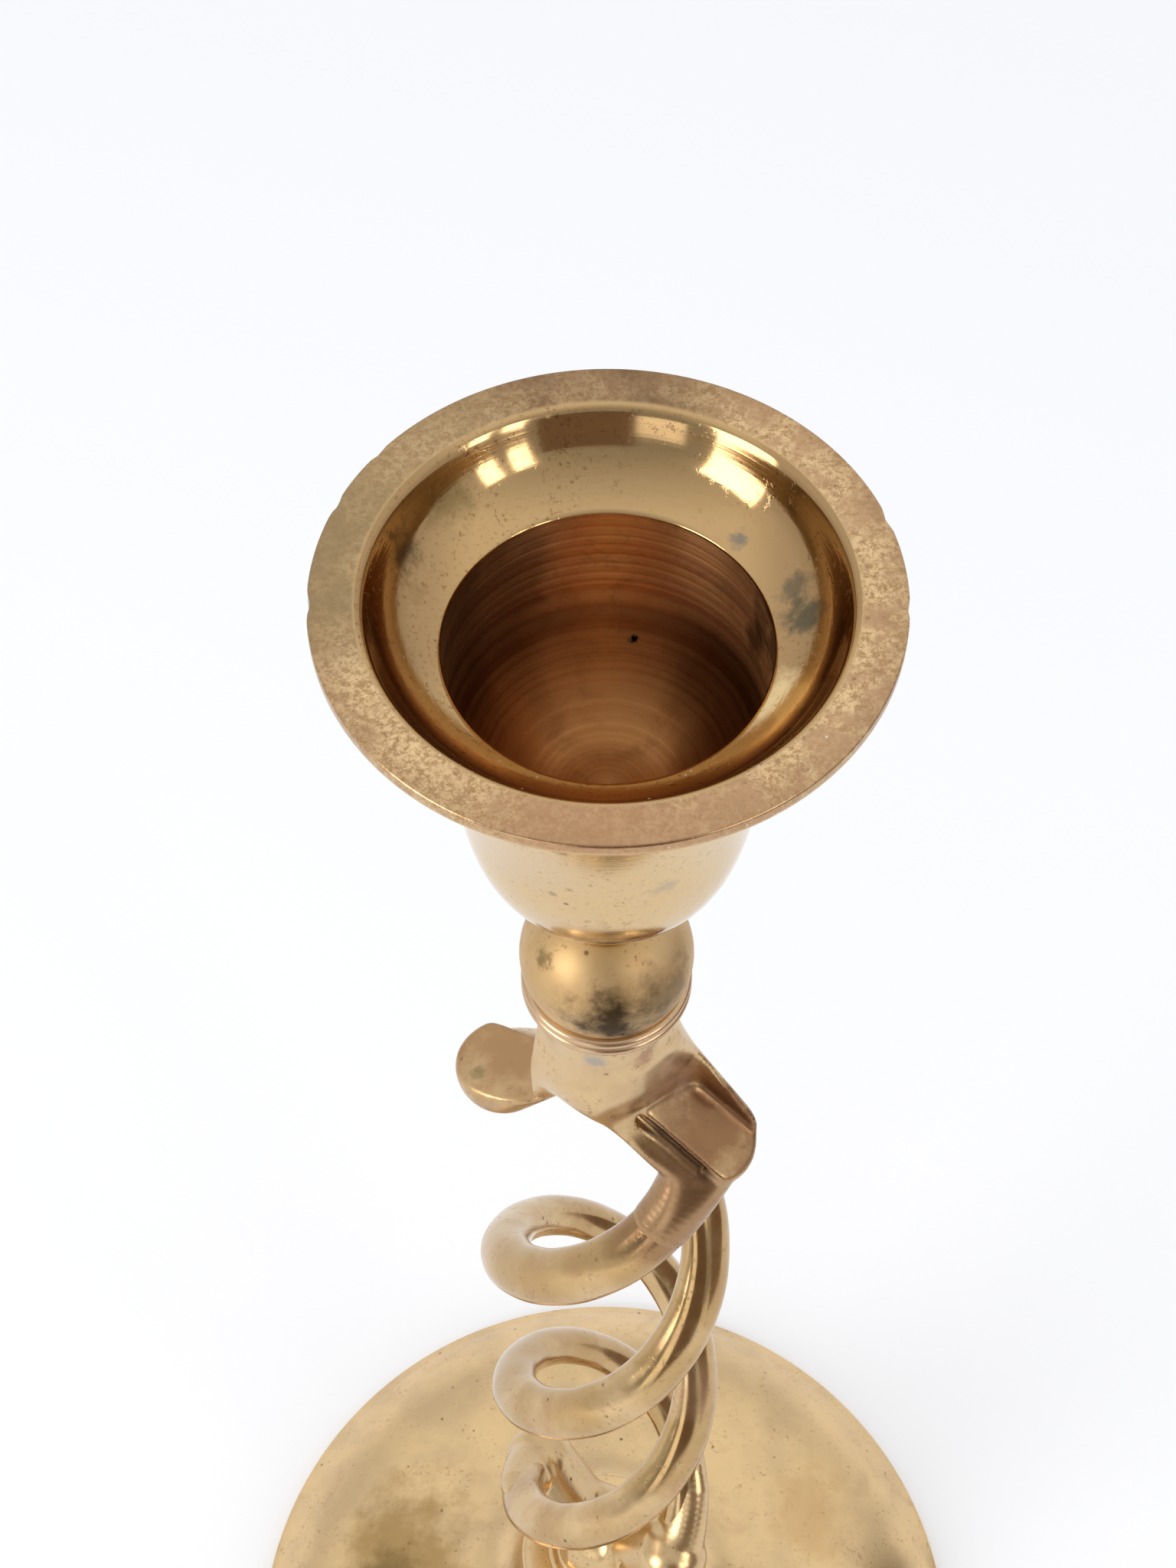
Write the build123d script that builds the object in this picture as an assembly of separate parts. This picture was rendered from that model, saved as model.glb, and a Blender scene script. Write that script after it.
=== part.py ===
from build123d import *
import os
from math import ceil, cos, pi, radians, sin, sqrt

# A brass candle holder with an open spiral stem: two rods wound round an empty middle, brazed into a hub
# at each end, on a hollow bell foot, with a ball knop and a screwed-on cup for one candle.
# Lengths are in millimetres. The origin is the middle of the foot's underside, and +Z is up.

# Bell foot
foot_radius = 44.6
foot_height = 32.0
foot_edge_height = 1.7
foot_ledge_width = 1.2
foot_ledge_height = 0.9
foot_wall = 2.6
foot_dome_slope = 50.0
foot_neck_radius = 9.0
foot_neck_curve_radius = 16.0
crown_bead_bulge = 1.1
crown_bead_height = 2.4
crown_thickness = 5.0

# Bolt and washer inside the foot
bolt_radius = 3.175
bolt_engagement = 7.5
bolt_end_gap = 0.6
bolt_hole_clearance = 0.25
bolt_head_radius = 4.9
bolt_head_height = 3.6
bolt_head_round = 0.8
bolt_slot_width = 1.3
bolt_slot_depth = 1.5
washer_radius = 5.9
washer_thickness = 1.2

# Spiral of two rods
strand_radius = 2.45
twist_radius = 9.5
twist_pitch = 66.9
twist_length = 103.1
twist_top_angle = -22.0
strand_setback = 1.2
stations_per_turn = 8

# Hubs that hold the rods' ends
hub_bead_radius = 6.8
hub_bead_height = 2.0
hub_groove_radius = 4.9
hub_neck_radius = 5.2
lobe_radius = 4.2
arm_root_offset = 2.6
top_arm_drop = 10.4
bottom_arm_drop = 9.6
top_neck_length = 12.0
bottom_neck_length = 5.4
facet_height = 1.2
facet_tilt = 20.0
facet_turn = -8.0
facet_ridge_offset = 3.5
facet_step_radius = 4.6
facet_step_turn = -34.0

# Stud and screw thread of the cup
stud_radius = 2.4
thread_clearance = 0.05
thread_pitch = 1.06
cup_thread_turns = 6
hub_engagement = 9.0
stud_end_gap = 0.6
stud_chamfer = 0.5

# Ball knop
ball_radius = 6.85
knop_seat_radius = 3.2
knop_base_drop = 2.9

# Candle cup, with depths measured down from the rim
cup_height = 39.6
rim_radius = 19.5
rim_thickness = 1.1
rim_edge_round = 0.3
lip_inner_radius = 16.2
lip_fall = 0.25
throat_radius = 13.9
throat_depth = 9.0
waist_radius = 11.9
waist_depth = 14.5
shoulder_radius = 10.9
shoulder_depth = 20.5
belly_radius = 9.9
belly_depth = 27.0
bowl_radius = 8.2
bowl_depth = 30.6
cup_neck_radius = 3.2
cup_neck_depth = 33.6
funnel_depth = 5.5
funnel_slope = 25.0
socket_radius = 11.1
socket_straight_depth = 8.0
socket_floor_radius = 5.0
socket_floor_depth = 22.8

# Directions along which the outlines leave their points, as slope from the vertical or the horizontal
throat_slope = 20.0
bowl_end_slope = 24.0

# Heights of the joints, worked out from the sizes above
bottom_lobe_depth = bottom_neck_length + bottom_arm_drop
top_lobe_depth = top_neck_length + top_arm_drop
bottom_lobe_z = foot_height + bottom_lobe_depth
top_lobe_z = bottom_lobe_z + twist_length
hub_seat_z = top_lobe_z + top_lobe_depth
knop_top_rise = sqrt(ball_radius**2 - knop_seat_radius**2)
knop_height = knop_base_drop + knop_top_rise
cup_seat_z = hub_seat_z + knop_height
rim_z = cup_seat_z + cup_height
cup_engagement = thread_pitch * cup_thread_turns
twist_bottom_angle = twist_top_angle - 360 * twist_length / twist_pitch


def turned(*outline):
    """A solid turned from a closed outline of edges in the XZ plane."""
    return revolve(make_face(Curve() + list(outline)), axis=Axis.Z)


def polyline(*points):
    """Straight edges through points given as radius and height."""
    places = [(radius, 0, height) for radius, height in points]
    return [Line(a, b) for a, b in zip(places, places[1:])]


def column(radius, low, high):
    """A plain round bar on the axis between two heights."""
    return Pos(0, 0, low) * Cylinder(radius, high - low, align=(Align.CENTER, Align.CENTER, Align.MIN))


def on_slope(degrees_from_level):
    """Unit direction in the XZ plane, rising by an angle from the level."""
    angle = radians(degrees_from_level)
    return (cos(angle), 0, sin(angle))


def foot_curves(offset):
    """The convex dome and the concave neck of the foot, both set inwards by an offset."""
    start = Vector(foot_radius - foot_ledge_width, 0, foot_edge_height + foot_ledge_height)
    outward = Vector(sin(radians(foot_dome_slope)), 0, cos(radians(foot_dome_slope)))
    neck_top = foot_height - crown_bead_height
    neck_centre = Vector(foot_neck_radius + foot_neck_curve_radius, 0, neck_top)
    reach = start - neck_centre
    room = 2 * (foot_neck_curve_radius + reach.dot(outward))
    dome_radius = (reach.dot(reach) - foot_neck_curve_radius**2) / room
    dome_centre = start - outward * dome_radius
    across = (neck_centre - dome_centre).normalized()
    return {
        "dome_centre": dome_centre,
        "dome_radius": dome_radius - offset,
        "neck_centre": neck_centre,
        "neck_radius": foot_neck_curve_radius + offset,
        "meeting": dome_centre + across * (dome_radius - offset),
        "neck_top": neck_top,
    }


def dome_radius_at(curves, height):
    """Radius from the axis of the dome's circle at a height."""
    drop = height - curves["dome_centre"].Z
    return curves["dome_centre"].X + sqrt(curves["dome_radius"] ** 2 - drop**2)


def neck_radius_at(curves, height):
    """Radius from the axis of the neck's circle at a height."""
    drop = height - curves["neck_centre"].Z
    return curves["neck_centre"].X - sqrt(curves["neck_radius"] ** 2 - drop**2)


def bell_arcs(curves, start, end):
    """The dome and the neck as two arcs that meet in one tangent."""
    meeting = curves["meeting"]
    along_start = (start - curves["dome_centre"]).normalized()
    along_meeting = (meeting - curves["dome_centre"]).normalized()
    leave = Vector(-along_start.Z, 0, along_start.X)
    carry = Vector(-along_meeting.Z, 0, along_meeting.X)
    return [TangentArc(start, meeting, tangent=leave), TangentArc(meeting, end, tangent=carry)]


def make_bell_foot():
    outer = foot_curves(0)
    inner = foot_curves(foot_wall)
    ceiling = foot_height - crown_thickness
    dome_start = Vector(foot_radius - foot_ledge_width, 0, foot_edge_height + foot_ledge_height)
    neck_end = Vector(foot_neck_radius, 0, outer["neck_top"])
    hollow_start = Vector(dome_radius_at(inner, 0), 0, 0)
    hollow_end = Vector(neck_radius_at(inner, ceiling), 0, ceiling)
    bead_edge = (foot_neck_radius + crown_bead_bulge, 0, foot_height - crown_bead_height / 2)
    bead_top = (foot_neck_radius, 0, foot_height)
    hole = bolt_radius + bolt_hole_clearance
    edge = polyline(
        (hollow_start.X, 0),
        (foot_radius, 0),
        (foot_radius, foot_edge_height),
        (dome_start.X, dome_start.Z),
    )
    middle = polyline(
        (foot_neck_radius, foot_height), (hole, foot_height), (hole, ceiling), (hollow_end.X, ceiling)
    )
    return turned(
        *edge,
        *bell_arcs(outer, dome_start, neck_end),
        ThreePointArc(neck_end, bead_edge, bead_top),
        *middle,
        *bell_arcs(inner, hollow_start, hollow_end),
    )


def make_foot_washer():
    top = foot_height - crown_thickness
    ring = column(washer_radius, top - washer_thickness, top)
    hole = column(bolt_radius + bolt_hole_clearance, top - washer_thickness, top)
    return ring - hole


def make_foot_bolt():
    head_top = foot_height - crown_thickness - washer_thickness
    head = column(bolt_head_radius, head_top - bolt_head_height, head_top)
    head = fillet(head.edges().group_by(Axis.Z)[0], bolt_head_round)
    shank = column(bolt_radius, head_top, foot_height + bolt_engagement)
    shank = chamfer(shank.edges().group_by(Axis.Z)[-1], stud_chamfer)
    slot = Box(2 * bolt_head_radius, bolt_slot_width, bolt_slot_depth)
    slot_z = head_top - bolt_head_height + bolt_slot_depth / 2
    return head + shank - Pos(0, 0, slot_z) * slot


def twist_point(height):
    """Point of the first rod's middle line at a height."""
    angle = radians(twist_top_angle) + 2 * pi * (height - top_lobe_z) / twist_pitch
    return Vector(twist_radius * cos(angle), twist_radius * sin(angle), height)


def twist_direction(height):
    """Unit direction of the first rod's middle line at a height, upwards."""
    point = twist_point(height)
    turn = 2 * pi / twist_pitch
    return Vector(-point.Y * turn, point.X * turn, 1).normalized()


def pair_of_arcs(start, leave, end, arrive):
    """Two tangent arcs from one point and direction to another."""
    span = end - start
    both = leave + arrive
    bend = 2 * (1 - leave.dot(arrive))
    lean = span.dot(both)
    handle = (sqrt(lean**2 + bend * span.dot(span)) - lean) / bend
    first = start + leave * handle
    second = end - arrive * handle
    middle = (first + second) / 2
    carry = (second - first).normalized()
    return [TangentArc(start, middle, tangent=leave), TangentArc(middle, end, tangent=carry)]


def make_strand(turn):
    """One rod of the spiral, which ends a little short of the middle of each lobe."""
    length = twist_length - 2 * strand_setback
    count = ceil(stations_per_turn * length / twist_pitch)
    heights = [bottom_lobe_z + strand_setback + length * step / count for step in range(count + 1)]
    arcs = []
    for low, high in zip(heights, heights[1:]):
        arcs += pair_of_arcs(twist_point(low), twist_direction(low), twist_point(high), twist_direction(high))
    section = Plane(twist_point(heights[0]), z_dir=twist_direction(heights[0])) * Circle(strand_radius)
    return Rot(0, 0, turn) * sweep(section, path=Wire(arcs))


def facet_cutter(lobe_z):
    """The space above the flat on an arm: a ridge stays behind it and a step stays towards the neck."""
    turn = radians(facet_turn)
    tilt = radians(facet_tilt)
    outward = Vector(cos(turn), sin(turn), 0)
    middle = Vector(twist_radius, 0, lobe_z + facet_height)
    floor_direction = outward * cos(tilt) - Vector(0, 0, sin(tilt))
    floor_normal = outward * sin(tilt) + Vector(0, 0, cos(tilt))
    reach = twist_radius + lobe_radius
    over = Box(2 * reach, 2 * reach, 2 * reach, align=(Align.CENTER, Align.MAX, Align.MIN))
    above = Plane(middle, x_dir=floor_direction, z_dir=floor_normal) * Pos(0, facet_ridge_offset, 0) * over
    outside = Box(2 * reach, 2 * reach, 2 * reach, align=(Align.MIN, Align.CENTER, Align.CENTER))
    return above & Rot(0, 0, facet_step_turn) * Pos(facet_step_radius, 0, lobe_z) * outside


def make_hub(neck_length, arm_drop, hole_radius, hole_depth):
    """A hub hanging below its seat at height zero, with an arm and a lobe along +X and another along -X."""
    bead_round = hub_bead_height / 2
    bead_flat = hub_bead_radius - bead_round
    groove_z = -hub_bead_height - (hub_neck_radius - hub_groove_radius)
    neck_bottom = -neck_length
    neck = turned(
        *polyline((0, neck_bottom - hub_neck_radius), (0, 0), (bead_flat, 0)),
        ThreePointArc((bead_flat, 0, 0), (hub_bead_radius, 0, -bead_round), (bead_flat, 0, -hub_bead_height)),
        *polyline(
            (bead_flat, -hub_bead_height),
            (hub_groove_radius, -hub_bead_height),
            (hub_neck_radius, groove_z),
            (hub_neck_radius, neck_bottom),
        ),
        ThreePointArc(
            (hub_neck_radius, 0, neck_bottom),
            (hub_neck_radius * cos(pi / 4), 0, neck_bottom - hub_neck_radius * sin(pi / 4)),
            (0, 0, neck_bottom - hub_neck_radius),
        ),
    )
    root = Vector(arm_root_offset, 0, neck_bottom)
    lobe = Vector(twist_radius, 0, neck_bottom - arm_drop)
    along = lobe - root
    bar = Solid.make_cylinder(lobe_radius, along.length, Plane(root, z_dir=along))
    arm = bar + Pos(*root) * Sphere(lobe_radius) + Pos(*lobe) * Sphere(lobe_radius)
    arm -= facet_cutter(lobe.Z)
    hub = neck + arm + Rot(0, 0, 180) * arm
    return hub - column(hole_radius, -hole_depth, 0)


def make_top_hub(strands):
    hub = make_hub(
        top_neck_length, top_arm_drop, stud_radius + thread_clearance, hub_engagement + stud_end_gap
    )
    hub = Pos(0, 0, hub_seat_z) * Rot(0, 0, twist_top_angle) * hub
    return hub - strands


def make_bottom_hub(strands):
    hub = make_hub(
        bottom_neck_length, bottom_arm_drop, bolt_radius + thread_clearance, bolt_engagement + bolt_end_gap
    )
    hub = Pos(0, 0, foot_height) * Rot(0, 0, twist_bottom_angle) * Rot(180, 0, 0) * hub
    return hub - strands


def make_cup_stud():
    low = hub_seat_z - hub_engagement
    stud = column(stud_radius, low, cup_seat_z + cup_engagement)
    ends = stud.edges().group_by(Axis.Z)
    return chamfer(ends[0] + ends[-1], stud_chamfer)


def make_knop():
    bore = stud_radius + thread_clearance
    base_radius = sqrt(ball_radius**2 - knop_base_drop**2)
    middle = hub_seat_z + knop_base_drop
    return turned(
        *polyline((bore, cup_seat_z), (bore, hub_seat_z), (base_radius, hub_seat_z)),
        ThreePointArc((base_radius, 0, hub_seat_z), (ball_radius, 0, middle), (knop_seat_radius, 0, cup_seat_z)),
        Line((knop_seat_radius, 0, cup_seat_z), (bore, 0, cup_seat_z)),
    )


def make_candle_cup():
    def place(radius, depth):
        return (radius, 0, rim_z - depth)

    bore = stud_radius + thread_clearance
    hole_top = cup_seat_z + cup_engagement + stud_end_gap
    throat = place(throat_radius, throat_depth)
    up_throat = on_slope(90 - throat_slope)
    under_lip = place(rim_radius, rim_thickness)
    socket_top = place(socket_radius, funnel_depth)
    socket_low = place(socket_radius, funnel_depth + socket_straight_depth)
    floor_edge = place(socket_floor_radius, socket_floor_depth)
    body = Spline(
        place(cup_neck_radius, cup_neck_depth),
        place(bowl_radius, bowl_depth),
        place(belly_radius, belly_depth),
        place(shoulder_radius, shoulder_depth),
        place(waist_radius, waist_depth),
        throat,
        tangents=(on_slope(bowl_end_slope), up_throat),
    )
    rim_round = fillet_points(rim_radius, rim_z, rim_edge_round)
    seat = [
        Line((0, 0, hole_top), (bore, 0, hole_top)),
        Line((bore, 0, hole_top), (bore, 0, cup_seat_z)),
        Line((bore, 0, cup_seat_z), (cup_neck_radius, 0, cup_seat_z)),
        Line((cup_neck_radius, 0, cup_seat_z), place(cup_neck_radius, cup_neck_depth)),
    ]
    lip = [
        TangentArc(throat, under_lip, tangent=up_throat),
        Line(under_lip, rim_round[0]),
        ThreePointArc(*rim_round),
        Line(rim_round[2], place(lip_inner_radius, lip_fall)),
        TangentArc(socket_top, place(lip_inner_radius, lip_fall), tangent=on_slope(funnel_slope)),
    ]
    socket = [
        Line(socket_top, socket_low),
        TangentArc(socket_low, floor_edge, tangent=(0, 0, -1)),
        Line(floor_edge, place(0, socket_floor_depth)),
        Line(place(0, socket_floor_depth), (0, 0, hole_top)),
    ]
    return turned(*seat, body, *lip, *socket)


def fillet_points(radius, height, size):
    """Start, middle and end of a quarter round on an outer upper edge."""
    inset = size * (1 - cos(pi / 4))
    return (radius, 0, height - size), (radius - inset, 0, height - inset), (radius - size, 0, height)


def main():
    strand_a = make_strand(0)
    strand_b = make_strand(180)
    strands = [strand_a, strand_b]
    pieces = {
        "bell_foot": make_bell_foot(),
        "foot_washer": make_foot_washer(),
        "foot_bolt": make_foot_bolt(),
        "bottom_hub": make_bottom_hub(strands),
        "strand_a": strand_a,
        "strand_b": strand_b,
        "top_hub": make_top_hub(strands),
        "cup_stud": make_cup_stud(),
        "knop": make_knop(),
        "candle_cup": make_candle_cup(),
    }
    os.makedirs("parts", exist_ok=True)
    for name, piece in pieces.items():
        export_step(piece, f"parts/{name}.step")
        print(name, round(piece.volume, 1), "mm3")
    section = pi * strand_radius**2
    turn_length = sqrt((2 * pi * twist_radius) ** 2 + twist_pitch**2)
    turns = (twist_length - 2 * strand_setback) / twist_pitch
    print("strand by section and length", round(section * turn_length * turns, 1), "mm3")
    print("height", round(rim_z, 2), "bottom angle", round(twist_bottom_angle, 1))


if __name__ == "__main__":
    main()
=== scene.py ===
import math

import bpy
import numpy as np
from bpy.props import FloatProperty, FloatVectorProperty, IntProperty, PointerProperty
from mathutils import Matrix, Vector


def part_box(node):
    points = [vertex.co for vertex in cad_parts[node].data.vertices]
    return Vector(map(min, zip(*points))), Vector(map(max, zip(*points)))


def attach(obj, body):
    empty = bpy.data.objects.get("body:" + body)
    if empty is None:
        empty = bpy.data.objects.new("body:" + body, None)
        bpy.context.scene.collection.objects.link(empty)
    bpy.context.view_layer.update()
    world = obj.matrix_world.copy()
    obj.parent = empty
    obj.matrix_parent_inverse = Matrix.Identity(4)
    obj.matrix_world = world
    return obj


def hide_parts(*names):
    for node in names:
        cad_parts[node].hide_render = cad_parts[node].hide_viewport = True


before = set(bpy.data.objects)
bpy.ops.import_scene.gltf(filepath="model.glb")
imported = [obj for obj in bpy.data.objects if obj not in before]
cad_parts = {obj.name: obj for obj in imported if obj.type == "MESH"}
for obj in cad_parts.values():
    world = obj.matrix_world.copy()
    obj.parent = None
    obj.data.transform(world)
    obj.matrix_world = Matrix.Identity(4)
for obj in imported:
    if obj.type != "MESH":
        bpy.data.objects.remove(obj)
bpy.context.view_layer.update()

bl_info = {
    "name": "Spiral Candle Holder",
    "version": (1, 0, 0),
    "blender": (4, 5, 0),
    "location": "3D View > Sidebar > Candle Holder",
    "description": "Aged brass looks for a candle holder with an open spiral stem",
    "category": "Object",
}

MM = 0.001
cup_low, cup_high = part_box("candle_cup")
knop_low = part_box("knop")[0]
foot_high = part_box("bell_foot")[1]
RIM_Z = cup_high.z
CUP_SEAT_Z = cup_low.z
HUB_SEAT_Z = knop_low.z
FOOT_TOP_Z = foot_high.z
FOOT_RADIUS = foot_high.x
STUD_HOLE_RADIUS = 2.45 * MM
BOLT_HOLE_RADIUS = 3.425 * MM


# Settings


def length(label, text, millimetres):
    """A length property, given in millimetres and kept in metres."""
    return FloatProperty(
        name=label, description=text, default=millimetres * MM, min=0.0, unit="LENGTH", precision=5
    )


def slant(label, text, degrees):
    """An angle property, given in degrees and kept in radians."""
    return FloatProperty(name=label, description=text, default=math.radians(degrees), subtype="ANGLE")


def colour(label, text, value):
    """A colour property in linear light."""
    return FloatVectorProperty(
        name=label, description=text, default=value, size=3, min=0.0, max=1.0, subtype="COLOR"
    )


class CandleCupSizes(bpy.types.PropertyGroup):
    rim_radius: length("Rim radius", "Outer radius of the flat lip", 19.5)
    lip_inner_radius: length("Lip inner radius", "Where the lip drops into the funnel", 16.2)
    socket_radius: length("Socket radius", "Radius of the straight candle socket", 11.1)
    funnel_depth: length("Funnel depth", "Depth from the rim to the socket's edge", 5.5)
    socket_straight: length("Straight socket", "Depth of the straight part of the socket", 8.0)
    floor_depth: length("Floor depth", "Depth from the rim to the socket's floor", 22.8)
    floor_radius: length("Floor radius", "Radius of the socket's floor", 5.0)
    stud_hole: length("Stud hole", "Depth of the hole that the stud screws into", 6.96)
    groove_depth: length("Groove depth", "Depth of the turning grooves in the socket", 0.05)
    nick_depth: length("Nick depth", "How far the dents reach into the rim's edge", 0.22)
    segments: IntProperty(name="Segments", description="Steps round the cup", default=240, min=48)


class StemSizes(bpy.types.PropertyGroup):
    rod_wide: length("Rod width", "Half of a rod's wider way across", 2.6)
    rod_thin: length("Rod thickness", "Half of a rod's narrower way across", 2.0)
    rod_lean: slant("Rod lean", "Turn of a rod's oval section about its middle line", 48)
    rod_inset: length("Rod inset", "Height from a lobe's middle to the end of its rod", 3.2)
    twist_radius: length("Spiral radius", "Distance of the rods' middle line from the axis", 9.5)
    twist_pitch: length("Spiral pitch", "Rise of a rod in one turn", 66.9)
    twist_length: length("Spiral length", "Height between the middles of the lobes", 103.1)
    top_angle: slant("Top angle", "Where the first rod ends", -22)
    lobe_radius: length("Lobe radius", "Radius of the hub's arms", 4.2)
    neck_radius: length("Neck radius", "Radius of the hub's neck", 5.2)
    bead_radius: length("Bead radius", "Radius of the hub's bead", 6.8)
    root_offset: length("Arm root offset", "Where an arm's middle line leaves the axis", 2.6)
    top_neck: length("Top neck", "Length of the upper hub's neck", 12.0)
    top_drop: length("Top drop", "Height from the upper hub's neck to its lobes", 10.4)
    bottom_neck: length("Bottom neck", "Length of the lower hub's neck", 5.4)
    bottom_drop: length("Bottom drop", "Height from the lower hub's neck to its lobes", 9.6)
    saddle: length("Saddle", "How softly neck and arms run into each other", 2.6)
    skin_pitch: length("Skin pitch", "Size of the faces on the hubs", 0.27)
    ball_radius: length("Ball radius", "Radius of the ball knop", 6.85)
    ball_rise: length("Ball rise", "Height of the ball's middle above the hub", 2.9)


class BellFootSizes(bpy.types.PropertyGroup):
    edge_height: length("Edge height", "Height of the upright band at the foot's edge", 1.7)
    ledge_width: length("Ledge width", "Step from the band to the dome", 1.2)
    ledge_height: length("Ledge height", "Rise of that step", 0.9)
    wall: length("Wall", "Thickness of the foot", 2.6)
    neck_radius: length("Neck radius", "Radius of the foot's neck", 9.0)
    neck_curve: length("Neck curve", "Radius of the sweep from dome to neck", 16.0)
    bead_height: length("Bead height", "Height of the bead on the crown", 2.4)
    bead_bulge: length("Bead bulge", "How far the bead stands out", 1.1)
    crown: length("Crown", "Thickness of the crown that the bolt clamps", 5.0)
    segments: IntProperty(name="Segments", description="Steps round the foot", default=256, min=48)


class BrassColours(bpy.types.PropertyGroup):
    polished: colour("Polished brass", "Brass where hands and cloth keep it bright", (0.66, 0.46, 0.21))
    pale: colour("Pale brass", "Brass with a thin grey film", (0.64, 0.46, 0.25))
    tarnish: colour("Tarnish", "Brown film on brass", (0.27, 0.145, 0.06))
    copper: colour("Copper bloom", "Reddish bloom on old brass", (0.50, 0.29, 0.16))
    soot: colour("Soot", "Dark specks and smudges", (0.035, 0.026, 0.018))
    dust: colour("Dust", "Pale specks of dust and wax", (0.80, 0.77, 0.70))
    steel: colour("Steel", "Bolt and stud", (0.42, 0.40, 0.37))


class StageSettings(bpy.types.PropertyGroup):
    floor: colour("Floor", "Colour of the floor", (0.89, 0.90, 0.93))
    flag: colour("Flags", "Colour of the cards that show in the polish", (0.24, 0.17, 0.13))
    glow: FloatProperty(name="Glow", description="Lift of the floor's white in the picture", default=0.08)
    lens: FloatProperty(name="Lens", description="Focal length in millimetres", default=63.28)
    pitch: slant("Pitch", "How far the camera looks down", 56.1)
    roll: slant("Roll", "Turn of the camera about its view", -0.38)


# Outlines and meshes


def heading(degrees):
    """Direction in the plane of an outline, by its angle above the way outwards."""
    return np.array([math.cos(math.radians(degrees)), math.sin(math.radians(degrees))])


def circle_part(centre, radius, first, last, count):
    """Points of a circle between two angles."""
    return [
        np.array([centre[0] + radius * math.cos(a), centre[1] + radius * math.sin(a)])
        for a in np.linspace(first, last, count)
    ]


def arc_to(start, direction, end, steps):
    """Points of the arc that leaves a point in a direction and reaches another point."""
    p = np.array(start, float)
    q = np.array(end, float)
    t = np.array(direction, float)
    t /= np.linalg.norm(t)
    n = np.array([-t[1], t[0]])
    chord = q - p
    bend = 2 * chord.dot(n) / chord.dot(chord)
    if abs(bend) < 1e-9:
        return [p + chord * i / steps for i in range(steps + 1)]
    sweep = 2 * math.atan2(chord.dot(n), chord.dot(t))
    centre = p + n / bend
    out = p - centre
    side = np.array([-out[1], out[0]])
    return [centre + out * math.cos(a) + side * math.sin(a) for a in np.linspace(0, sweep, steps + 1)]


def smooth_line(points, leave, arrive, steps):
    """A smooth line through points with given end directions, by cubic pieces over chord lengths."""
    p = np.array(points, float)
    gaps = np.linalg.norm(np.diff(p, axis=0), axis=1)
    count = len(p)
    left = np.zeros((count, count))
    right = np.zeros((count, 2))
    left[0, 0] = left[-1, -1] = 1
    right[0] = np.array(leave) / np.linalg.norm(leave)
    right[-1] = np.array(arrive) / np.linalg.norm(arrive)
    for i in range(1, count - 1):
        a, b = gaps[i - 1], gaps[i]
        left[i, i - 1 : i + 2] = [b, 2 * (a + b), a]
        right[i] = 3 * (b * (p[i] - p[i - 1]) / a + a * (p[i + 1] - p[i]) / b)
    slopes = np.linalg.solve(left, right)
    line = []
    for i, gap in enumerate(gaps):
        for s in np.linspace(0, 1, steps, endpoint=False):
            from_start = (2 * s**3 - 3 * s**2 + 1) * p[i] + (s**3 - 2 * s**2 + s) * gap * slopes[i]
            from_end = (-2 * s**3 + 3 * s**2) * p[i + 1] + (s**3 - s**2) * gap * slopes[i + 1]
            line.append(from_start + from_end)
    return line + [p[-1]]


def eased(points, radius, steps=6):
    """An outline with its sharp corners rounded by a small radius."""
    p = [np.array(x, float) for x in points]
    line = [p[0]]
    for before, here, after in zip(p, p[1:], p[2:]):
        a, b = before - here, after - here
        la, lb = np.linalg.norm(a), np.linalg.norm(b)
        turn = math.pi - math.acos(np.clip(a.dot(b) / (la * lb), -1, 1))
        if turn < 0.35:
            line.append(here)
            continue
        cut = min(radius * math.tan(turn / 2), 0.45 * la, 0.45 * lb)
        first, last = here + a / la * cut, here + b / lb * cut
        for s in np.linspace(0, 1, steps + 1):
            line.append((1 - s) ** 2 * first + 2 * s * (1 - s) * here + s**2 * last)
    return line + [p[-1]]


def lathe(outline, segments):
    """Vertices and faces of an outline of radius and height turned about the axis."""
    angles = np.linspace(0, 2 * math.pi, segments, endpoint=False)
    vertices, rings, faces = [], [], []
    for radius, height in outline:
        if radius < 1e-7:
            rings.append([len(vertices)])
            vertices.append((0.0, 0.0, height))
            continue
        rings.append(list(range(len(vertices), len(vertices) + segments)))
        vertices += [(radius * math.cos(a), radius * math.sin(a), height) for a in angles]
    pairs = list(zip(rings, rings[1:]))
    if len(rings[0]) > 1 and len(rings[-1]) > 1:
        pairs.append((rings[-1], rings[0]))
    for low, high in pairs:
        for i in range(segments):
            k = (i + 1) % segments
            if len(low) == 1:
                faces.append((low[0], high[k], high[i]))
            elif len(high) == 1:
                faces.append((low[i], low[k], high[0]))
            else:
                faces.append((low[i], low[k], high[k], high[i]))
    return np.array(vertices), faces


def tube(rings):
    """Vertices and faces of a tube through rings of points, closed at both ends."""
    count, sides = len(rings), len(rings[0])
    faces = []
    for base in range(0, (count - 1) * sides, sides):
        for i in range(sides):
            k = (i + 1) % sides
            faces.append((base + i, base + k, base + sides + k, base + sides + i))
    faces.append(tuple(range(sides))[::-1])
    faces.append(tuple(range((count - 1) * sides, count * sides)))
    return [point for ring in rings for point in ring], faces


def joined(a, b, softness):
    """Distance to two bodies that run into each other softly."""
    h = np.clip(0.5 + 0.5 * (b - a) / softness, 0, 1)
    return b * (1 - h) + a * h - softness * h * (1 - h)


def carved(a, b, softness):
    """Distance to a body with another one cut away, with soft edges."""
    return -joined(-a, b, softness)


def bar(points, start, end, radius):
    """Distance to a round bar between two points."""
    line = end - start
    s = np.clip((points - start) @ line / line.dot(line), 0, 1)
    return np.linalg.norm(points - start - s[:, None] * line, axis=1) - radius


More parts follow.
